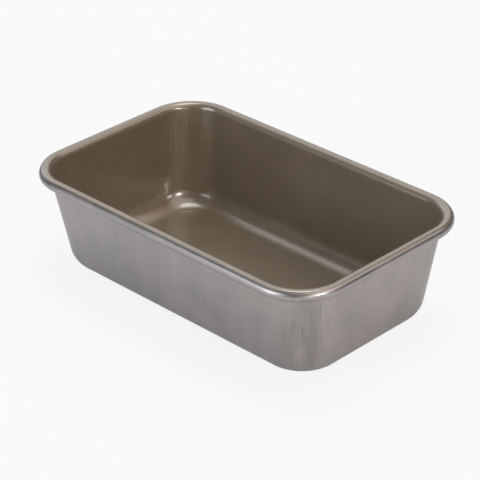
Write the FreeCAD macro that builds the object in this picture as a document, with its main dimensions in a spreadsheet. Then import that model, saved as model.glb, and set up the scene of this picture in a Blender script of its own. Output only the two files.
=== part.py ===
"""Loaf pan: a deep-drawn aluminium pan with a rim rolled over a steel wire, and a nonstick lining.

The pan stands on z = 0 with its length along X, and the origin is the middle of its underside.
Lengths are in millimetres and angles in degrees.
"""
import FreeCAD, Part
import math
import os
import Sketcher

# ---------------------------------------------------------------- sizes

# Each driving size, and what it measures.
DRIVING_SIZES = [
    ("RimLength", 250.0, "length over the rim"),
    ("RimWidth", 154.0, "width over the rim"),
    ("PanHeight", 70.0, "table to the top of the rim"),
    ("RimCornerRadius", 33.7, "outside of the rim at a corner, seen from above"),
    ("BaseCornerRadius", 29.4, "outside of the wall at a corner, down at the table"),
    ("EndDraft", 6.4, "lean of the two short walls from upright"),
    ("SideDraft", 7.8, "lean of the two long walls from upright"),
    ("FloorFillet", 14.5, "outside bend between the floor and the walls"),
    ("SheetThickness", 1.0, "aluminium sheet"),
    ("LipRadius", 4.2, "bend from the inside of the wall to the top of the rim"),
    ("WireDiameter", 5.0, "steel wire inside the rolled rim"),
    ("WireClearance", 0.1, "gap between the wire and the sheet rolled over it"),
    ("WireButtGap", 0.5, "gap between the two ends of the wire"),
    ("CurlGap", 0.3, "gap between the rolled edge of the sheet and the wall"),
    ("CoatingThickness", 0.2, "nonstick lining, thicker than the real film"),
    ("CoatingEdgeAngle", 56.0, "where on the bead the lining ends, above level"),
]

# Each size that follows from the driving ones, and its formula.
WORKED_SIZES = [
    ("SheetHeight", "Sizes.PanHeight - Sizes.CoatingThickness"),
    ("BeadRadius", "Sizes.WireDiameter / 2 + Sizes.WireClearance + Sizes.SheetThickness"),
    ("MeanDraft", "(Sizes.EndDraft + Sizes.SideDraft) / 2"),
    ("SheetRun", "Sizes.SheetThickness / cos(MeanDraft)"),
    ("CoatingRun", "Sizes.CoatingThickness / cos(MeanDraft)"),
    ("LipRun", "(Sizes.LipRadius - Sizes.SheetThickness) / cos(MeanDraft)"),
    ("WallTop", "SheetHeight - Sizes.LipRadius"),
    ("WireLength", "Sizes.RimLength - 2 * BeadRadius"),
    ("WireWidth", "Sizes.RimWidth - 2 * BeadRadius"),
    ("WireCorner", "Sizes.RimCornerRadius - BeadRadius"),
    ("WireHeight", "SheetHeight - BeadRadius"),
    ("TopCorner", "WireCorner - LipRun"),
    ("BaseLength", "WireLength - 2 * LipRun - 2 * WallTop * tan(Sizes.EndDraft)"),
    ("BaseWidth", "WireWidth - 2 * LipRun - 2 * WallTop * tan(Sizes.SideDraft)"),
    ("CurlEndAngle", "acos(min(0.94; (LipRun - Sizes.CurlGap) / BeadRadius)) / 1 deg - 180"),
]


def write_sizes(doc):
    """Fill the two sheets: the driving sizes as plain numbers, and the worked ones as formulas."""
    sizes = doc.addObject("Spreadsheet::Sheet", "Sizes")
    for row, (alias, number, meaning) in enumerate(DRIVING_SIZES, start=1):
        sizes.set(f"A{row}", alias)
        sizes.set(f"B{row}", str(number))
        sizes.set(f"C{row}", meaning)
        sizes.setAlias(f"B{row}", alias)
    doc.recompute()
    worked = doc.addObject("Spreadsheet::Sheet", "Worked")
    for row, (alias, formula) in enumerate(WORKED_SIZES, start=1):
        worked.set(f"A{row}", alias)
        worked.set(f"B{row}", "=" + formula)
        worked.setAlias(f"B{row}", alias)
    doc.recompute()


def value(body, formula):
    """What a formula on the sheets comes to now."""
    return float(body.evalExpression(formula))


# ---------------------------------------------------------------- sketches

START, END, CENTRE = 1, 2, 3
SKETCH_ORIGIN = (-1, 1)
VERTICAL_AXIS = -2


def new_sketch(body, name, role):
    """An empty sketch on the body's own origin plane of that role."""
    sketch = body.newObject("Sketcher::SketchObject", name)
    for feature in body.Origin.OriginFeatures:
        if feature.Role == role:
            sketch.AttachmentSupport = (feature, [""])
    sketch.MapMode = "FlatFace"
    return sketch


def line(start_x, start_y, end_x, end_y):
    """A straight line for a sketch."""
    return Part.LineSegment(FreeCAD.Vector(start_x, start_y, 0), FreeCAD.Vector(end_x, end_y, 0))


def arc(centre_x, centre_y, radius, start_angle, end_angle):
    """A round stretch for a sketch, counter-clockwise from the first angle to the second."""
    circle = Part.Circle(FreeCAD.Vector(centre_x, centre_y, 0), FreeCAD.Vector(0, 0, 1), radius)
    return Part.ArcOfCircle(circle, math.radians(start_angle), math.radians(end_angle))


def relate(sketch, kind, *places):
    """Add a constraint without a size."""
    sketch.addConstraint(Sketcher.Constraint(kind, *places))


def measure(sketch, name, formula, kind, *places):
    """Add a constraint whose size is driven by a formula on the sheets."""
    now = value(sketch, formula)
    if kind == "Angle":
        now = math.radians(now)
    index = sketch.addConstraint(Sketcher.Constraint(kind, *places, now))
    sketch.renameConstraint(index, name)
    sketch.setExpression(f"Constraints.{name}", formula)


def outline_sketch(body, name, height, inset):
    """The outline of the walls at a height, moved in by an inset: a rectangle with round corners.

    The height and the inset are formulas. The outline follows the lean of the walls.
    """
    length = f"Worked.BaseLength + 2 * ({height}) * tan(Sizes.EndDraft) - 2 * ({inset})"
    width = f"Worked.BaseWidth + 2 * ({height}) * tan(Sizes.SideDraft) - 2 * ({inset})"
    corner_change = f"(Worked.TopCorner - Sizes.BaseCornerRadius) * ({height}) / Worked.WallTop"
    corner = f"Sizes.BaseCornerRadius + {corner_change} - ({inset})"
    half_x = value(body, length) / 2
    half_y = value(body, width) / 2
    radius = value(body, corner)
    flat_x = half_x - radius
    flat_y = half_y - radius

    sketch = new_sketch(body, name, "XY_Plane")
    sketch.setExpression("AttachmentOffset.Base.z", height)
    front = sketch.addGeometry(line(-flat_x, -half_y, flat_x, -half_y))
    front_right = sketch.addGeometry(arc(flat_x, -flat_y, radius, 270, 360))
    right = sketch.addGeometry(line(half_x, -flat_y, half_x, flat_y))
    back_right = sketch.addGeometry(arc(flat_x, flat_y, radius, 0, 90))
    back = sketch.addGeometry(line(flat_x, half_y, -flat_x, half_y))
    back_left = sketch.addGeometry(arc(-flat_x, flat_y, radius, 90, 180))
    left = sketch.addGeometry(line(-half_x, flat_y, -half_x, -flat_y))
    front_left = sketch.addGeometry(arc(-flat_x, -flat_y, radius, 180, 270))

    around = [front, front_right, right, back_right, back, back_left, left, front_left]
    for this, following in zip(around, around[1:] + around[:1]):
        relate(sketch, "Tangent", this, END, following, START)
    relate(sketch, "Horizontal", front)
    relate(sketch, "Horizontal", back)
    relate(sketch, "Vertical", left)
    relate(sketch, "Vertical", right)
    for corner_arc in (back_right, back_left, front_left):
        relate(sketch, "Equal", front_right, corner_arc)
    relate(sketch, "Symmetric", front_left, CENTRE, back_right, CENTRE, *SKETCH_ORIGIN)
    measure(sketch, "Length", length, "DistanceX", left, START, right, START)
    measure(sketch, "Width", width, "DistanceY", front, START, back, START)
    measure(sketch, "Corner", corner, "Radius", front_right)
    return sketch


def half_rim_path(body, start):
    """Half of the rim's centre line, from the middle of the back round to the middle of the front.

    The start is a formula: how far from the middle of the back the line begins.
    """
    half_x = value(body, "Worked.WireLength / 2")
    half_y = value(body, "Worked.WireWidth / 2")
    radius = value(body, "Worked.WireCorner")
    flat_x = half_x - radius
    flat_y = half_y - radius

    sketch = new_sketch(body, "RimPath", "XY_Plane")
    sketch.setExpression("AttachmentOffset.Base.z", "Worked.WireHeight")
    back = sketch.addGeometry(line(value(body, start), half_y, flat_x, half_y))
    back_corner = sketch.addGeometry(arc(flat_x, flat_y, radius, 0, 90))
    right = sketch.addGeometry(line(half_x, flat_y, half_x, -flat_y))
    front_corner = sketch.addGeometry(arc(flat_x, -flat_y, radius, 270, 360))
    front = sketch.addGeometry(line(flat_x, -half_y, 0, -half_y))

    relate(sketch, "Tangent", back, END, back_corner, END)
    relate(sketch, "Tangent", back_corner, START, right, START)
    relate(sketch, "Tangent", right, END, front_corner, END)
    relate(sketch, "Tangent", front_corner, START, front, START)
    relate(sketch, "Horizontal", back)
    relate(sketch, "Vertical", right)
    relate(sketch, "Horizontal", front)
    relate(sketch, "Equal", back_corner, front_corner)
    relate(sketch, "PointOnObject", front, END, VERTICAL_AXIS)
    measure(sketch, "Begin", start, "DistanceX", *SKETCH_ORIGIN, back, START)
    measure(sketch, "HalfLength", "Worked.WireLength / 2", "DistanceX", *SKETCH_ORIGIN, right, START)
    measure(sketch, "BackReach", "Worked.WireWidth / 2", "DistanceY", *SKETCH_ORIGIN, back, START)
    measure(sketch, "FrontReach", "Worked.WireWidth / 2", "DistanceY", front, END, *SKETCH_ORIGIN)
    measure(sketch, "Corner", "Worked.WireCorner", "Radius", back_corner)
    return sketch


def rim_section(body, crest, lip, bead, thickness, edge_angle):
    """One layer of the rim cut across: up from the wall, over the lip and round the bead to its edge.

    All five are formulas: the top of the layer, the outside radii of its lip and of its bead, its
    thickness, and where on the bead it ends, as an angle above level.
    """
    crest_z = value(body, crest)
    lip_radius = value(body, lip)
    bead_radius = value(body, bead)
    skin = value(body, thickness)
    end = value(body, edge_angle)
    lean = value(body, "Worked.MeanDraft")
    foot_z = value(body, "Worked.WallTop")
    centre_y = value(body, "Worked.WireWidth / 2")
    lip_z = crest_z - lip_radius
    bead_z = crest_z - bead_radius

    # Corners of the section, as the arcs and the lean of the wall give them.
    wall_turn = math.radians(180 - lean)
    end_turn = math.radians(end)
    cavity_y = centre_y + lip_radius * math.cos(wall_turn)
    cavity_z = lip_z + lip_radius * math.sin(wall_turn)
    back_y = centre_y + (lip_radius - skin) * math.cos(wall_turn)
    back_z = lip_z + (lip_radius - skin) * math.sin(wall_turn)
    cavity_foot_y = cavity_y - (cavity_z - foot_z) * math.tan(math.radians(lean))
    back_foot_y = back_y - (back_z - foot_z) * math.tan(math.radians(lean))
    edge_out = (centre_y + bead_radius * math.cos(end_turn), bead_z + bead_radius * math.sin(end_turn))
    edge_in = (
        centre_y + (bead_radius - skin) * math.cos(end_turn),
        bead_z + (bead_radius - skin) * math.sin(end_turn),
    )

    sketch = new_sketch(body, "RimSection", "YZ_Plane")
    cavity_side = sketch.addGeometry(line(cavity_foot_y, foot_z, cavity_y, cavity_z))
    lip_top = sketch.addGeometry(arc(centre_y, lip_z, lip_radius, 90, 180 - lean))
    bead_top = sketch.addGeometry(arc(centre_y, bead_z, bead_radius, end, 90))
    edge = sketch.addGeometry(line(*edge_out, *edge_in))
    bead_under = sketch.addGeometry(arc(centre_y, bead_z, bead_radius - skin, end, 90))
    lip_under = sketch.addGeometry(arc(centre_y, lip_z, lip_radius - skin, 90, 180 - lean))
    back_side = sketch.addGeometry(line(back_y, back_z, back_foot_y, foot_z))
    foot = sketch.addGeometry(line(back_foot_y, foot_z, cavity_foot_y, foot_z))

    relate(sketch, "Tangent", cavity_side, END, lip_top, END)
    relate(sketch, "Tangent", lip_top, START, bead_top, END)
    relate(sketch, "Coincident", bead_top, START, edge, START)
    relate(sketch, "Coincident", edge, END, bead_under, START)
    relate(sketch, "Tangent", bead_under, END, lip_under, START)
    relate(sketch, "Tangent", lip_under, END, back_side, START)
    relate(sketch, "Coincident", back_side, END, foot, START)
    relate(sketch, "Coincident", foot, END, cavity_side, START)
    relate(sketch, "Coincident", lip_top, CENTRE, lip_under, CENTRE)
    relate(sketch, "Coincident", bead_top, CENTRE, bead_under, CENTRE)
    relate(sketch, "Vertical", lip_top, START, lip_top, CENTRE)
    relate(sketch, "Parallel", cavity_side, back_side)
    relate(sketch, "PointOnObject", bead_top, CENTRE, edge)
    relate(sketch, "Horizontal", foot)
    measure(sketch, "Crest", crest, "DistanceY", *SKETCH_ORIGIN, lip_top, START)
    measure(sketch, "Reach", "Worked.WireWidth / 2", "DistanceX", *SKETCH_ORIGIN, lip_top, CENTRE)
    measure(sketch, "FootHeight", "Worked.WallTop", "DistanceY", *SKETCH_ORIGIN, foot, START)
    measure(sketch, "Lip", lip, "Radius", lip_top)
    measure(sketch, "Bead", bead, "Radius", bead_top)
    measure(sketch, "BeadUnder", f"{bead} - {thickness}", "Radius", bead_under)
    measure(sketch, "WallLean", "90 - Worked.MeanDraft", "Angle", cavity_side)
    measure(sketch, "EdgeTurn", f"{edge_angle} + 180", "Angle", edge)
    return sketch


# ---------------------------------------------------------------- features

LEVEL_TOLERANCE = 1e-4


def edges_at_height(shape, height):
    """The names of the edges that lie level at a height."""
    names = []
    for index, edge in enumerate(shape.Edges, start=1):
        box = edge.BoundBox
        if abs(box.ZMin - height) < LEVEL_TOLERANCE and abs(box.ZMax - height) < LEVEL_TOLERANCE:
            names.append(f"Edge{index}")
    return names


def tapered_block(body, kind, name, floor, inset):
    """Add or cut a block from the foot of the rim down to a floor, following the lean of the walls.

    The floor's height and the inset from the outside of the walls are formulas.
    """
    high = outline_sketch(body, name + "Top", "Worked.WallTop", inset)
    low = outline_sketch(body, name + "Floor", floor, inset)
    loft = body.newObject(kind, name)
    loft.Profile = high
    loft.Sections = [low]
    loft.Ruled = True
    body.Document.recompute()
    return loft


def floor_fillet(body, base, name, floor, radius):
    """Round the edges of the last feature that lie at the height of a floor.

    The floor's height and the radius are formulas.
    """
    fillet = body.newObject("PartDesign::Fillet", name)
    fillet.Base = (base, edges_at_height(base.Shape, value(body, floor)))
    fillet.setExpression("Radius", radius)
    body.Document.recompute()
    return fillet


def dished_layer(body, back, face):
    """A layer of even thickness with a floor and four leaning walls, open at the top.

    The back and the face are each three formulas: the floor's height, the inset from the outside
    of the walls, and the fillet between floor and walls.
    """
    back_floor, back_inset, back_radius = back
    face_floor, face_inset, face_radius = face
    tapered_block(body, "PartDesign::AdditiveLoft", "Back", back_floor, back_inset)
    hollow = tapered_block(body, "PartDesign::SubtractiveLoft", "Hollow", face_floor, face_inset)
    inner = floor_fillet(body, hollow, "FaceFillet", face_floor, face_radius)
    return floor_fillet(body, inner, "BackFillet", back_floor, back_radius)


def rim_sweep(body, path, section):
    """Sweep a section round half the rim, and mirror it to the other half."""
    sweep = body.newObject("PartDesign::AdditivePipe", "RimSweep")
    sweep.Profile = section
    sweep.Spine = path
    body.Document.recompute()
    mirror = body.newObject("PartDesign::Mirrored", "RimMirror")
    mirror.Originals = [sweep]
    for feature in body.Origin.OriginFeatures:
        if feature.Role == "YZ_Plane":
            mirror.MirrorPlane = (feature, [""])
    body.Tip = mirror
    body.Document.recompute()


# ---------------------------------------------------------------- pieces


def make_pan_shell(doc):
    """The drawn sheet: floor, four leaning walls and a rim rolled outwards to a free edge."""
    body = doc.addObject("PartDesign::Body", "PanShell")
    body.Label = "pan_shell"
    outside = ("0", "0", "Sizes.FloorFillet")
    inside = ("Sizes.SheetThickness", "Worked.SheetRun", "Sizes.FloorFillet - Sizes.SheetThickness")
    dished_layer(body, outside, inside)
    path = half_rim_path(body, "0")
    section = rim_section(
        body,
        crest="Worked.SheetHeight",
        lip="Sizes.LipRadius",
        bead="Worked.BeadRadius",
        thickness="Sizes.SheetThickness",
        edge_angle="Worked.CurlEndAngle",
    )
    rim_sweep(body, path, section)
    return body


def make_nonstick_coating(doc):
    """The lining: a skin on the floor, the walls and the lip, ending on top of the bead."""
    body = doc.addObject("PartDesign::Body", "NonstickCoating")
    body.Label = "nonstick_coating"
    back = ("Sizes.SheetThickness", "Worked.SheetRun", "Sizes.FloorFillet - Sizes.SheetThickness")
    face = (
        "Sizes.SheetThickness + Sizes.CoatingThickness",
        "Worked.SheetRun + Worked.CoatingRun",
        "Sizes.FloorFillet - Sizes.SheetThickness - Sizes.CoatingThickness",
    )
    dished_layer(body, back, face)
    path = half_rim_path(body, "0")
    section = rim_section(
        body,
        crest="Sizes.PanHeight",
        lip="Sizes.LipRadius + Sizes.CoatingThickness",
        bead="Worked.BeadRadius + Sizes.CoatingThickness",
        thickness="Sizes.CoatingThickness",
        edge_angle="Sizes.CoatingEdgeAngle",
    )
    rim_sweep(body, path, section)
    return body


def make_rim_wire(doc):
    """The wire that the rim is rolled over, bent to a ring with its ends butted at the back."""
    body = doc.addObject("PartDesign::Body", "RimWire")
    body.Label = "rim_wire"
    path = half_rim_path(body, "Sizes.WireButtGap / 2")
    section = new_sketch(body, "WireSection", "YZ_Plane")
    section.setExpression("AttachmentOffset.Base.z", "Sizes.WireButtGap / 2")
    centre_y = value(body, "Worked.WireWidth / 2")
    centre_z = value(body, "Worked.WireHeight")
    radius = value(body, "Sizes.WireDiameter / 2")
    middle = FreeCAD.Vector(centre_y, centre_z, 0)
    circle = section.addGeometry(Part.Circle(middle, FreeCAD.Vector(0, 0, 1), radius))
    measure(section, "Reach", "Worked.WireWidth / 2", "DistanceX", *SKETCH_ORIGIN, circle, CENTRE)
    measure(section, "Height", "Worked.WireHeight", "DistanceY", *SKETCH_ORIGIN, circle, CENTRE)
    measure(section, "WireRadius", "Sizes.WireDiameter / 2", "Radius", circle)
    rim_sweep(body, path, section)
    return body


# ---------------------------------------------------------------- checks and files


def check_document(doc):
    """Stop if anything in the document failed to build."""
    for item in doc.Objects:
        for state in item.State:
            if state in ("Invalid", "Error"):
                raise RuntimeError(f"{item.Name} is {state}")


def write_pieces(bodies):
    """Check each piece and write it as parts/LABEL.step."""
    for body in bodies:
        if body.Shape.isNull() or not body.Shape.isValid():
            raise RuntimeError(f"{body.Label} has no valid shape")
    os.makedirs("parts", exist_ok=True)
    for body in bodies:
        body.Shape.exportStep(f"parts/{body.Label}.step")
        box = body.Shape.optimalBoundingBox()
        size = f"{box.XLength:.2f} x {box.YLength:.2f} x {box.ZLength:.2f} mm"
        print(f"{body.Label}: {len(body.Shape.Solids)} solid, {body.Shape.Volume:.1f} mm3, {size}")


document = FreeCAD.newDocument("LoafPan")
write_sizes(document)
pieces = [make_pan_shell(document), make_nonstick_coating(document), make_rim_wire(document)]
document.recompute()
check_document(document)
write_pieces(pieces)
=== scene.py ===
import math

import bmesh
import bpy
from mathutils import Matrix, Vector, noise


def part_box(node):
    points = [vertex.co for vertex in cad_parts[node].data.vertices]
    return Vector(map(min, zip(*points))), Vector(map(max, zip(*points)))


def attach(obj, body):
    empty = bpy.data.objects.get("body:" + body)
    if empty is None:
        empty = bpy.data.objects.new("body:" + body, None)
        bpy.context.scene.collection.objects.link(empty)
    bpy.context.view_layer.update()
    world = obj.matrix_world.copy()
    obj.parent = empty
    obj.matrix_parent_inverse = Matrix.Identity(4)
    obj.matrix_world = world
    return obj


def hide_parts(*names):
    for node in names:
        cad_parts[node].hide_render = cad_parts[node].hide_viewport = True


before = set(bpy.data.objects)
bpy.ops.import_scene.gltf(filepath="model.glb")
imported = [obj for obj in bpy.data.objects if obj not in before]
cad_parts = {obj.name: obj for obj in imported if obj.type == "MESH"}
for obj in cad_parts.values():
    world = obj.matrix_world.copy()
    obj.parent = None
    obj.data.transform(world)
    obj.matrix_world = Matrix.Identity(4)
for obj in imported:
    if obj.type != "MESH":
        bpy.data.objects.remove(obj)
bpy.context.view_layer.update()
MM = 0.001

# ---------------------------------------------------------------- pan shell
# One sheet of aluminium, deep drawn in a press into a floor and four leaning walls.
# Its edge is rolled outwards over a wire and closes just short of the wall.
# The outside stays bare: a satin with soft bands of painted reflection and, at the corners, fine draw
# marks.

shell_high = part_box("pan_shell")[1]
sheet = 1.0 * MM
bead_radius = 3.6 * MM
lip_radius = 4.2 * MM
curl_gap = 0.3 * MM
floor_bend = 14.5 * MM
base_corner = 29.4 * MM
rim_corner = 33.7 * MM
end_draft = math.radians(6.4)
side_draft = math.radians(7.8)

mean_draft = (end_draft + side_draft) / 2
sheet_run = sheet / math.cos(mean_draft)
wire_half_length = shell_high.x - bead_radius
wire_half_width = shell_high.y - bead_radius
wire_corner = rim_corner - bead_radius
bead_height = shell_high.z - bead_radius
wall_top = shell_high.z - lip_radius
lip_run = (lip_radius - sheet) / math.cos(mean_draft)
top_corner = wire_corner - lip_run
base_half_length = wire_half_length - lip_run - wall_top * math.tan(end_draft)
base_half_width = wire_half_width - lip_run - wall_top * math.tan(side_draft)

CORNER_SIGNS = ((1, 1), (-1, 1), (-1, -1), (1, -1))
CORNER_STEPS = 24
SIDE_STEPS = (28, 16)
BEND_STEPS = 14
WALL_STEPS = 14
LIP_STEPS = 10


def steps_round():
    """Each step of one turn round the pan: its corner, which way it faces, how far along the side."""
    steps = []
    for corner in range(4):
        start = corner * math.pi / 2
        for step in range(CORNER_STEPS):
            steps.append((corner, start + math.pi / 2 * step / CORNER_STEPS, 0.0))
        side_steps = SIDE_STEPS[corner % 2]
        for step in range(side_steps):
            steps.append((corner, start + math.pi / 2, step / side_steps))
    return steps


ROUND = steps_round()


def shares(count, first=0.0, last=1.0):
    """Even steps from a first value to a last one, both included."""
    return [first + (last - first) * step / count for step in range(count + 1)]


def on_outline(step, half_length, half_width, radius, height):
    """The point of one step on a rectangle with round corners, at a height."""
    corner, facing, along = step
    ends = []
    for sign_x, sign_y in (CORNER_SIGNS[corner], CORNER_SIGNS[(corner + 1) % 4]):
        x = sign_x * (half_length - radius) + radius * math.cos(facing)
        y = sign_y * (half_width - radius) + radius * math.sin(facing)
        ends.append(Vector((x, y, height)))
    return ends[0].lerp(ends[1], along)


def on_wall(step, height, inset):
    """The point of one step on the outside of the wall, moved in by an inset."""
    half_length = base_half_length + height * math.tan(end_draft) - inset
    half_width = base_half_width + height * math.tan(side_draft) - inset
    radius = base_corner + (top_corner - base_corner) * height / wall_top - inset
    place = on_outline(step, half_length, half_width, radius, height)
    # a drawn wall is never quite flat: it swells by a tenth of a millimetre here and there,
    # in patches taller than they are wide, and is held true by the floor bend and the rim
    swell, patch, patch_stretch = 0.14 * MM, 42 * MM, 0.6
    from_floor, from_rim = 24 * MM, 14 * MM
    free = max(0.0, min(1.0, height / from_floor, (wall_top - height) / from_rim))
    patch_height = height * patch_stretch
    along_wall = on_outline(step, half_length + inset, half_width + inset, radius + inset, patch_height)
    out = Vector((math.cos(step[1]), math.sin(step[1]), 0))
    return place + out * swell * free * noise.noise(along_wall / patch)


def lean(step):
    """How far the wall leans out from upright at one step."""
    facing = step[1]
    growth = (top_corner - base_corner) / wall_top
    ends = (math.tan(end_draft) - growth) * abs(math.cos(facing))
    sides = (math.tan(side_draft) - growth) * abs(math.sin(facing))
    return math.atan(ends + sides + growth)


def bend_ring(share, radius, floor, inset):
    """A ring on the bend from the floor, at share 0, to the wall, at share 1."""
    ring = []
    for step in ROUND:
        upright = math.pi / 2 - lean(step)
        turn = share * upright
        rise = radius * (1 - math.cos(turn))
        inward = radius * (math.tan(upright / 2) - math.sin(turn)) + rise * math.tan(lean(step))
        ring.append(on_wall(step, floor + rise, inset + inward))
    return ring


def rim_ring(radius, centre_height, angles):
    """A ring on a round of the rim, at an angle above level for each step, seen from the wire."""
    ring = []
    for step, angle in zip(ROUND, angles):
        out = radius * math.cos(angle)
        height = centre_height + radius * math.sin(angle)
        half_length, half_width = wire_half_length + out, wire_half_width + out
        ring.append(on_outline(step, half_length, half_width, wire_corner + out, height))
    return ring


def sheet_side(floor, inset, bend, lip):
    """Rings over one side of the sheet, from the flat floor up to the crest of the rim."""
    # a narrow band of flat floor, and of straight wall at each end, keeps the bends' shading clean
    floor_band, wall_band = 0.04, 1 * MM
    floor_edge = bend_ring(0, bend, floor, inset)
    rings = [[place.lerp(Vector((0, 0, floor)), floor_band) for place in floor_edge], floor_edge]
    rings += [bend_ring(share, bend, floor, inset) for share in shares(BEND_STEPS)[1:]]
    for height in shares(WALL_STEPS, floor + bend + wall_band, wall_top - wall_band):
        rings.append([on_wall(step, height, inset) for step in ROUND])
    for share in shares(LIP_STEPS):
        angles = [math.pi / 2 + (math.pi / 2 - lean(step)) * (1 - share) for step in ROUND]
        rings.append(rim_ring(lip, wall_top, angles))
    return rings


def bead_side(radius, first, last, count):
    """Rings over one side of the sheet where it rolls round the wire, past the crest."""
    return [rim_ring(radius, bead_height, [angle] * len(ROUND)) for angle in shares(count, first, last)]


def skin_mesh(name, rings):
    """A closed skin through the rings in turn, with flat floors over the first and the last."""
    work = bmesh.new()
    corner_depth = work.verts.layers.float.new("corner")
    foot = work.verts.layers.float_vector.new("foot")
    feet = [on_wall(step, 0, 0) for step in ROUND]
    verts = bmesh.ops.create_circle(work, cap_ends=True, segments=len(ROUND), radius=1)["verts"]
    for ring in rings:
        if ring is not rings[0]:
            edges = [work.edges.get((verts[i - 1], verts[i])) for i in range(len(verts))]
            grown = set(bmesh.ops.extrude_edge_only(work, edges=edges)["geom"])
            verts = [
                next(edge.other_vert(vert) for edge in vert.link_edges if edge.other_vert(vert) in grown)
                for vert in verts
            ]
        for vert, place, under, (corner, facing, along) in zip(verts, ring, feet, ROUND):
            vert.co = place
            vert[foot] = under
            vert[corner_depth] = 0.0 if along else abs(math.sin(2 * facing))
    edges = [work.edges.get((verts[i - 1], verts[i])) for i in range(len(verts))]
    bmesh.ops.edgeloop_fill(work, edges=edges)
    bmesh.ops.recalc_face_normals(work, faces=work.faces)
    for face in work.faces:
        face.smooth = True
    mesh = bpy.data.meshes.new(name)
    work.to_mesh(mesh)
    work.free()
    piece = bpy.data.objects.new(name, mesh)
    bpy.context.scene.collection.objects.link(piece)
    return piece


CREST = math.pi / 2
curl_end = math.acos((lip_run - curl_gap) / bead_radius) - math.pi
curl_steps, bead_steps = 24, 32
outside = sheet_side(0, 0, floor_bend, lip_radius - sheet)
inside = sheet_side(sheet, sheet_run, floor_bend - sheet, lip_radius)
bead_inner = bead_side(bead_radius - sheet, CREST, curl_end, curl_steps)
bead_outer = bead_side(bead_radius, curl_end, CREST, bead_steps)
shell = skin_mesh("pan_shell_sheet", outside + bead_inner[1:] + bead_outer + inside[::-1][1:])
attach(shell, "root")
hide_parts("pan_shell")


def linear(hex_colour):
    """An sRGB hex colour as the linear colour that shaders take."""
    channels = [int(hex_colour[i : i + 2], 16) / 255 for i in (1, 3, 5)]
    return [c / 12.92 if c <= 0.04045 else ((c + 0.055) / 1.055) ** 2.4 for c in channels] + [1]


def add_node(material, kind, settings, links):
    """One node of a kind, with settings by name and its inputs set or linked by name or number."""
    node = material.node_tree.nodes.new(kind)
    for name, setting in settings.items():
        setattr(node, name, setting)
    for name, source in links.items():
        if isinstance(source, bpy.types.NodeSocket):
            material.node_tree.links.new(source, node.inputs[name])
        else:
            node.inputs[name].default_value = source
    return node.outputs


def empty_material(name):
    """A material with no nodes yet."""
    material = bpy.data.materials.new(name)
    material.use_nodes = True
    material.node_tree.nodes.clear()
    return material


# nearly all of a noise texture's values lie between the low one and the high one
NOISE_LOW, NOISE_MIDDLE, NOISE_HIGH = 0.3, 0.5, 0.7


def up_the_wall(material, stretch):
    """Pattern coordinates that follow the leaning wall, drawn out upwards where stretch is small."""
    place = add_node(material, "ShaderNodeTexCoord", {}, {})["Object"]
    height = add_node(material, "ShaderNodeSeparateXYZ", {}, {"Vector": place})["Z"]
    foot = add_node(material, "ShaderNodeAttribute", {"attribute_name": "foot"}, {})["Vector"]
    lift = add_node(material, "ShaderNodeCombineXYZ", {}, {"Z": height})[0]
    drawn = add_node(material, "ShaderNodeVectorMath", {"operation": "ADD"}, {0: foot, 1: lift})[0]
    return add_node(material, "ShaderNodeMapping", {}, {"Vector": drawn, "Scale": (1, 1, stretch)})[0]


def wall_corners(material, middle, reach, faint, full):
    """1 on the corners of the walls near a height, and 0 past a reach from it and on the flats."""
    place = add_node(material, "ShaderNodeTexCoord", {}, {})["Object"]
    height = add_node(material, "ShaderNodeSeparateXYZ", {}, {"Vector": place})["Z"]
    above = add_node(material, "ShaderNodeMath", {"operation": "SUBTRACT"}, {0: height, 1: middle})[0]
    away = add_node(material, "ShaderNodeMath", {"operation": "ABSOLUTE"}, {0: above})[0]
    near = add_node(
        material,
        "ShaderNodeMapRange",
        {"interpolation_type": "SMOOTHSTEP"},
        {"Value": away, "From Min": reach, "From Max": reach / 3},
    )[0]
    corner = add_node(material, "ShaderNodeAttribute", {"attribute_name": "corner"}, {})["Fac"]
    round_corner = add_node(
        material,
        "ShaderNodeMapRange",
        {"interpolation_type": "SMOOTHSTEP"},
        {"Value": corner, "From Min": faint, "From Max": full},
    )[0]
    return add_node(material, "ShaderNodeMath", {"operation": "MULTIPLY"}, {0: near, 1: round_corner})[0]


# Bare 3000-series aluminium sheet, drawn and lightly buffed. The eye sees a grey satin with soft
# upright bands of painted reflection, a cloudy bloom and dark draw marks at the corners. The attribute
# "foot" is where the wall below a point meets the floor, so that lines drawn on it follow the leaning
# wall.
aluminium = empty_material("drawn_aluminium")
place = add_node(aluminium, "ShaderNodeTexCoord", {}, {})["Object"]
# upright bands of painted reflection: lighter and darker streaks in the colour, standing in for the room
# reflected in the waves of the drawn walls
band_width, band_stretch = 9 * MM, 0.12
band_place = up_the_wall(aluminium, band_stretch)
bands = add_node(
    aluminium,
    "ShaderNodeTexNoise",
    {},
    {"Vector": band_place, "Scale": 1 / band_width, "Detail": 2.0, "Roughness": 0.5},
)[0]
bloom_size = 26 * MM
bloom = add_node(
    aluminium,
    "ShaderNodeTexNoise",
    {},
    {"Vector": place, "Scale": 1 / bloom_size, "Detail": 4.0, "Roughness": 0.6, "Distortion": 0.8},
)[0]
# draw marks are about 0.2 mm wide; they are drawn nearly four times as coarse to show
mark_width, mark_stretch = 0.75 * MM, 0.03
mark_place = up_the_wall(aluminium, mark_stretch)
marks = add_node(
    aluminium,
    "ShaderNodeTexNoise",
    {},
    {"Vector": mark_place, "Scale": 1 / mark_width, "Detail": 2.0, "Roughness": 0.65},
)[0]
mark_middle, mark_reach = 42 * MM, 21 * MM
mark_mask = wall_corners(aluminium, mark_middle, mark_reach, faint=0.1, full=0.8)
mark_lines = add_node(
    aluminium,
    "ShaderNodeMapRange",
    {"interpolation_type": "SMOOTHSTEP"},
    {"Value": marks, "From Min": 0.54, "From Max": 0.7},
)[0]
mark_depth = add_node(
    aluminium,
    "ShaderNodeMath",
    {"operation": "MULTIPLY"},
    {0: mark_lines, 1: mark_mask},
)[0]
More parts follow.
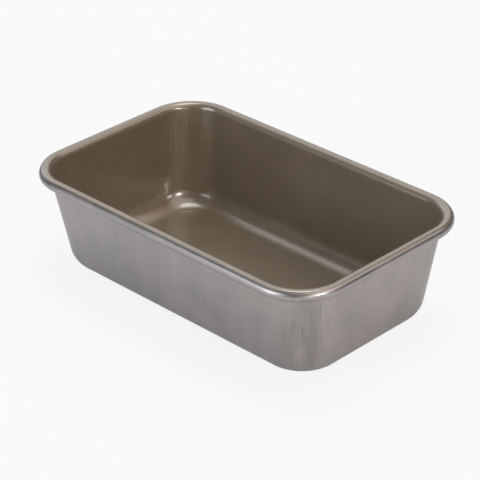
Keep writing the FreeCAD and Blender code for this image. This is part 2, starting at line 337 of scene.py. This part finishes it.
# every wall carries faint marks of the same kind, where the sheet slid through the die
wall_lines = add_node(
    aluminium,
    "ShaderNodeMapRange",
    {},
    {"Value": marks, "From Min": NOISE_LOW, "From Max": NOISE_HIGH, "To Min": 0.985, "To Max": 1.015},
)[0]
# the painted reflection bands, lighter and darker, are 4 per cent deep on the flats and 13 per cent round
# the corners, where the drawn sheet waves most
flat_reflection_bands, corner_reflection_bands = 0.04, 0.13
corner = add_node(aluminium, "ShaderNodeAttribute", {"attribute_name": "corner"}, {})["Fac"]
reflection_band_reach = add_node(
    aluminium,
    "ShaderNodeMath",
    {"operation": "MULTIPLY_ADD"},
    {0: corner, 1: corner_reflection_bands - flat_reflection_bands, 2: flat_reflection_bands},
)[0]
reflection_band_share = add_node(
    aluminium,
    "ShaderNodeMapRange",
    {},
    {"Value": bands, "From Min": NOISE_LOW, "From Max": NOISE_HIGH, "To Min": -1.0, "To Max": 1.0},
)[0]
reflection_band_tone = add_node(
    aluminium,
    "ShaderNodeMath",
    {"operation": "MULTIPLY_ADD"},
    {0: reflection_band_share, 1: reflection_band_reach, 2: 1.0},
)[0]
bloom_tone = add_node(
    aluminium,
    "ShaderNodeMapRange",
    {},
    {"Value": bloom, "From Min": NOISE_LOW, "From Max": NOISE_HIGH, "To Min": 0.93, "To Max": 1.07},
)[0]
tone = add_node(aluminium, "ShaderNodeMath", {"operation": "MULTIPLY"}, {0: reflection_band_tone, 1: bloom_tone})[0]
tone = add_node(aluminium, "ShaderNodeMath", {"operation": "MULTIPLY"}, {0: tone, 1: wall_lines})[0]
# the bloom is a thin oxide, which leans from a cool grey to a faintly rosy one
oxide = add_node(
    aluminium,
    "ShaderNodeMapRange",
    {},
    {"Value": bloom, "From Min": 0.35, "From Max": 0.65},
)[0]
tint = add_node(
    aluminium,
    "ShaderNodeMix",
    {"data_type": "RGBA"},
    {"Factor": oxide, 6: linear("#B1B0AF"), 7: linear("#B4B0AE")},
)[2]
bright = add_node(aluminium, "ShaderNodeVectorMath", {"operation": "SCALE"}, {0: tint, "Scale": tone})[0]
colour = add_node(
    aluminium,
    "ShaderNodeMix",
    {"data_type": "RGBA"},
    {"Factor": mark_depth, 6: bright, 7: linear("#92908E")},
)[2]
satin = add_node(
    aluminium,
    "ShaderNodeMapRange",
    {},
    {"Value": bloom, "From Min": NOISE_LOW, "From Max": NOISE_HIGH, "To Min": 0.31, "To Max": 0.41},
)[0]
# the dark marks are scored in, so they sink below the fine grain
mark_sink = -1.5
relief = add_node(
    aluminium,
    "ShaderNodeMath",
    {"operation": "MULTIPLY_ADD"},
    {0: mark_depth, 1: mark_sink, 2: marks},
)[0]
grain = add_node(
    aluminium,
    "ShaderNodeBump",
    {},
    {"Strength": 0.05, "Distance": 0.05 * MM, "Height": relief},
)[0]
metal = add_node(
    aluminium,
    "ShaderNodeBsdfPrincipled",
    {},
    {"Base Color": colour, "Metallic": 1.0, "Roughness": satin, "Normal": grain},
)[0]
add_node(aluminium, "ShaderNodeOutputMaterial", {}, {"Surface": metal})
shell.data.materials.append(aluminium)

# ---------------------------------------------------------------- nonstick lining
# A nonstick film baked on over the whole inside before the sheet was drawn.
# It runs up the lip and over the crest, and ends in a clean line on the outer side of the rim.

# the film's back stands just off the sheet, so that the two faces don't fight
film = 0.2 * MM
film_back = 0.02 * MM
film_edge = math.radians(56)


def film_side(depth):
    """Rings over one face of the film, from the floor to its edge on the rim."""
    inset = (sheet + depth) / math.cos(mean_draft)
    rings = sheet_side(sheet + depth, inset, floor_bend - sheet - depth, lip_radius + depth)
    edge_steps = 6
    return rings + bead_side(bead_radius + depth, CREST, film_edge, edge_steps)[1:]


lining = skin_mesh("nonstick_lining", film_side(film_back) + film_side(film)[::-1])
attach(lining, "root")
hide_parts("nonstick_coating")

# Baked nonstick paint, grey-brown with fine metal flake under a clear, smooth top. The eye sees
# a soft brown-grey body with a fine speckle, and white highlights on the bends and the rim.
nonstick = empty_material("flaked_nonstick_paint")
place = add_node(nonstick, "ShaderNodeTexCoord", {}, {})["Object"]
# flakes are a tenth of a millimetre across; they are drawn eight times as coarse to show
flake_size = 0.8 * MM
flakes = add_node(
    nonstick,
    "ShaderNodeTexNoise",
    {},
    {"Vector": place, "Scale": 1 / flake_size, "Detail": 2.0, "Roughness": 0.7},
)[0]
cloud_size = 22 * MM
clouds = add_node(
    nonstick,
    "ShaderNodeTexNoise",
    {},
    {"Vector": place, "Scale": 1 / cloud_size, "Detail": 2.0},
)[0]
flake_tone = add_node(
    nonstick,
    "ShaderNodeMapRange",
    {},
    {"Value": flakes, "From Min": NOISE_LOW, "From Max": NOISE_HIGH, "To Min": 0.87, "To Max": 1.13},
)[0]
cloud_tone = add_node(
    nonstick,
    "ShaderNodeMapRange",
    {},
    {"Value": clouds, "From Min": NOISE_LOW, "From Max": NOISE_HIGH, "To Min": 0.96, "To Max": 1.04},
)[0]
# the sheet's stretch marks show through the film near the corners as shallow grooves, with painted
# highlight and shade along them in the colour
mark_width, mark_stretch = 2.4 * MM, 0.05
mark_place = up_the_wall(nonstick, mark_stretch)
marks = add_node(
    nonstick,
    "ShaderNodeTexNoise",
    {},
    {"Vector": mark_place, "Scale": 1 / mark_width, "Detail": 1.0},
)[0]
mark_middle, mark_reach = 50 * MM, 18 * MM
mark_mask = wall_corners(nonstick, mark_middle, mark_reach, faint=0.0, full=0.4)
centred = add_node(nonstick, "ShaderNodeMath", {"operation": "SUBTRACT"}, {0: marks, 1: NOISE_MIDDLE})[0]
mark_depth = add_node(nonstick, "ShaderNodeMath", {"operation": "MULTIPLY"}, {0: centred, 1: mark_mask})[0]
# the marks' lighter and darker streaks in the colour are painted highlight and shade; the grooves
# themselves come from the bump below
painted_mark_shading = add_node(
    nonstick,
    "ShaderNodeMapRange",
    {},
    {"Value": mark_depth, "From Min": -0.25, "From Max": 0.25, "To Min": 0.84, "To Max": 1.16},
)[0]
tone = add_node(nonstick, "ShaderNodeMath", {"operation": "MULTIPLY"}, {0: flake_tone, 1: cloud_tone})[0]
tone = add_node(nonstick, "ShaderNodeMath", {"operation": "MULTIPLY"}, {0: tone, 1: painted_mark_shading})[0]
colour = add_node(
    nonstick,
    "ShaderNodeVectorMath",
    {"operation": "SCALE"},
    {0: linear("#837663")[:3], "Scale": tone},
)[0]
orange_peel = add_node(
    nonstick,
    "ShaderNodeBump",
    {},
    {"Strength": 0.1, "Distance": 0.05 * MM, "Height": flakes},
)[0]
stretched = add_node(
    nonstick,
    "ShaderNodeBump",
    {},
    {"Strength": 0.6, "Distance": 0.4 * MM, "Height": mark_depth, "Normal": orange_peel},
)[0]
paint = add_node(
    nonstick,
    "ShaderNodeBsdfPrincipled",
    {},
    {
        "Base Color": colour,
        "Metallic": 0.28,
        "Roughness": 0.4,
        "Coat Weight": 1.0,
        "Coat Roughness": 0.18,
        "Coat IOR": 1.85,
        "Normal": stretched,
        "Coat Normal": stretched,
    },
)[0]
add_node(nonstick, "ShaderNodeOutputMaterial", {}, {"Surface": paint})
lining.data.materials.append(nonstick)

# ---------------------------------------------------------------- rim wire
# A ring of zinc-coated steel wire that stiffens the rim. The sheet is rolled round it,
# so only its underside shows, through the slot where the curl stops short of the wall.

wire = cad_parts["rim_wire"]

# Galvanised mild-steel wire: dull blue-grey, with the mottle of its zinc.
zinc = empty_material("galvanised_wire")
place = add_node(zinc, "ShaderNodeTexCoord", {}, {})["Object"]
spangle_size = 1.5 * MM
spangle = add_node(
    zinc,
    "ShaderNodeTexNoise",
    {},
    {"Vector": place, "Scale": 1 / spangle_size, "Detail": 3.0},
)[0]
colour = add_node(
    zinc,
    "ShaderNodeMix",
    {"data_type": "RGBA"},
    {"Factor": spangle, 6: linear("#8D9093"), 7: linear("#A9ABAD")},
)[2]
dulled = add_node(
    zinc,
    "ShaderNodeMapRange",
    {},
    {"Value": spangle, "From Min": NOISE_LOW, "From Max": NOISE_HIGH, "To Min": 0.4, "To Max": 0.55},
)[0]
steel = add_node(
    zinc,
    "ShaderNodeBsdfPrincipled",
    {},
    {"Base Color": colour, "Metallic": 1.0, "Roughness": dulled},
)[0]
add_node(zinc, "ShaderNodeOutputMaterial", {}, {"Surface": steel})
wire.data.materials.clear()
wire.data.materials.append(zinc)

# ---------------------------------------------------------------- table
# A plain white table top, which keeps the pan's soft shadow.

# the table lies just under the pan, so that the two faces don't fight
table_size = 5.0
table_drop = 0.1 * MM
work = bmesh.new()
bmesh.ops.create_grid(work, x_segments=1, y_segments=1, size=table_size / 2)
table_mesh = bpy.data.meshes.new("table")
work.to_mesh(table_mesh)
work.free()
table = bpy.data.objects.new("table", table_mesh)
table.location.z = -table_drop
bpy.context.scene.collection.objects.link(table)

# Matt white laminate. To the camera, and in the metal, it is mostly a plain white.
laminate = empty_material("white_laminate")
seen_white, reflected_white = 0.86, 0.17
rays = add_node(laminate, "ShaderNodeLightPath", {}, {})
reflected = add_node(
    laminate,
    "ShaderNodeMath",
    {"operation": "MAXIMUM"},
    {0: rays["Is Glossy Ray"], 1: rays["Is Transmission Ray"]},
)[0]
seen = add_node(
    laminate,
    "ShaderNodeMath",
    {"operation": "MULTIPLY"},
    {0: rays["Is Camera Ray"], 1: seen_white},
)[0]
whitened = add_node(
    laminate,
    "ShaderNodeMath",
    {"operation": "MULTIPLY_ADD"},
    {0: reflected, 1: reflected_white, 2: seen},
)[0]
matt = add_node(
    laminate,
    "ShaderNodeBsdfPrincipled",
    {},
    {"Base Color": linear("#E6E6E6"), "Roughness": 0.9, "Specular IOR Level": 0.0},
)[0]
plain = add_node(laminate, "ShaderNodeEmission", {}, {"Color": (1, 1, 1, 1), "Strength": 1.0})[0]
mixed = add_node(laminate, "ShaderNodeMixShader", {}, {"Fac": whitened, 1: matt, 2: plain})[0]
add_node(laminate, "ShaderNodeOutputMaterial", {}, {"Surface": mixed})
table.data.materials.append(laminate)

# ---------------------------------------------------------------- light
# Square soft boxes in a dim white room: low ones in front and at the right for the bare walls,
# and larger, higher ones at the back, the left and overhead for the lining, the rim and the bends.

studio = bpy.data.worlds.new("studio")
bpy.context.scene.world = studio
studio.use_nodes = True
studio.node_tree.nodes.clear()
# The backdrop is white to the camera, a dim white in the metal and dimmer still as light.
room_light, reflected_backdrop, seen_backdrop = 0.045, 0.07, 1.0
sight = add_node(studio, "ShaderNodeLightPath", {}, {})
mirrored = add_node(
    studio,
    "ShaderNodeMath",
    {"operation": "MAXIMUM"},
    {0: sight["Is Glossy Ray"], 1: sight["Is Transmission Ray"]},
)[0]
in_metal = add_node(
    studio,
    "ShaderNodeMath",
    {"operation": "MULTIPLY_ADD"},
    {0: mirrored, 1: reflected_backdrop, 2: room_light},
)[0]
backdrop_strength = add_node(
    studio,
    "ShaderNodeMath",
    {"operation": "MULTIPLY_ADD"},
    {0: sight["Is Camera Ray"], 1: seen_backdrop - room_light, 2: in_metal},
)[0]
backdrop = add_node(
    studio,
    "ShaderNodeBackground",
    {},
    {"Color": (1, 1, 1, 1), "Strength": backdrop_strength},
)[0]
add_node(studio, "ShaderNodeOutputWorld", {}, {"Surface": backdrop})


def soft_box(name, bearing, elevation, size, watts, colour):
    """A square lamp that faces the pan from a bearing, in degrees from +X towards +Y."""
    reach = 1.3
    lamp = bpy.data.lights.new(name, "AREA")
    lamp.shape = "SQUARE"
    lamp.size = size
    lamp.energy = watts
    lamp.color = linear(colour)[:3]
    item = bpy.data.objects.new(name, lamp)
    turn, rise = math.radians(bearing), math.radians(elevation)
    outward = Vector((math.cos(turn), math.sin(turn), 0)) * math.cos(rise)
    outward.z = math.sin(rise)
    item.location = Vector((0, 0, 30 * MM)) + outward * reach
    item.rotation_mode = "QUATERNION"
    item.rotation_quaternion = outward.to_track_quat("Z", "Y")
    bpy.context.scene.collection.objects.link(item)


soft_box("front_soft_box", 257, 18, 0.8, 6.5, "#F5F7FF")
soft_box("right_soft_box", 350, 24, 0.26, 3.6, "#FFF8F3")
soft_box("low_right_soft_box", 332, 9, 0.5, 1.5, "#FFF2EC")
soft_box("high_right_soft_box", 30, 62, 1.5, 8.2, "#FFEEE8")
soft_box("overhead_soft_box", 135, 78, 0.5, 3.2, "#FFFFFF")
soft_box("high_left_soft_box", 144, 42, 1.5, 6.6, "#FAFCFF")
soft_box("left_soft_box", 180, 28, 0.7, 1.2, "#F4F6FF")

# ---------------------------------------------------------------- camera
# Above and in front of one corner, from far enough back to keep the walls nearly parallel.

lens_data = bpy.data.cameras.new("camera")
lens_data.sensor_width = 36
lens_data.lens = 153.2
camera = bpy.data.objects.new("camera", lens_data)
bpy.context.scene.collection.objects.link(camera)
azimuth, elevation, roll = (math.radians(angle) for angle in (45.26, 29.30, -1.055))
distance = 1.2847
middle = Vector((0, 0, shell_high.z / 2))
towards = Vector((math.sin(azimuth), -math.cos(azimuth), 0)) * math.cos(elevation)
towards.z = math.sin(elevation)
camera.location = middle + towards * distance
rolled = Matrix.Rotation(roll, 3, "Z")
level = towards.to_track_quat("Z", "Y").to_matrix() @ rolled
aim_left, aim_down = 1.6 * MM, 1.86 * MM
aim = middle - level.col[0] * aim_left - level.col[1] * aim_down
turned = (camera.location - aim).to_track_quat("Z", "Y").to_matrix() @ rolled
camera.rotation_mode = "QUATERNION"
camera.rotation_quaternion = turned.to_quaternion()
bpy.context.scene.camera = camera
bpy.context.scene.view_settings.view_transform = "Standard"
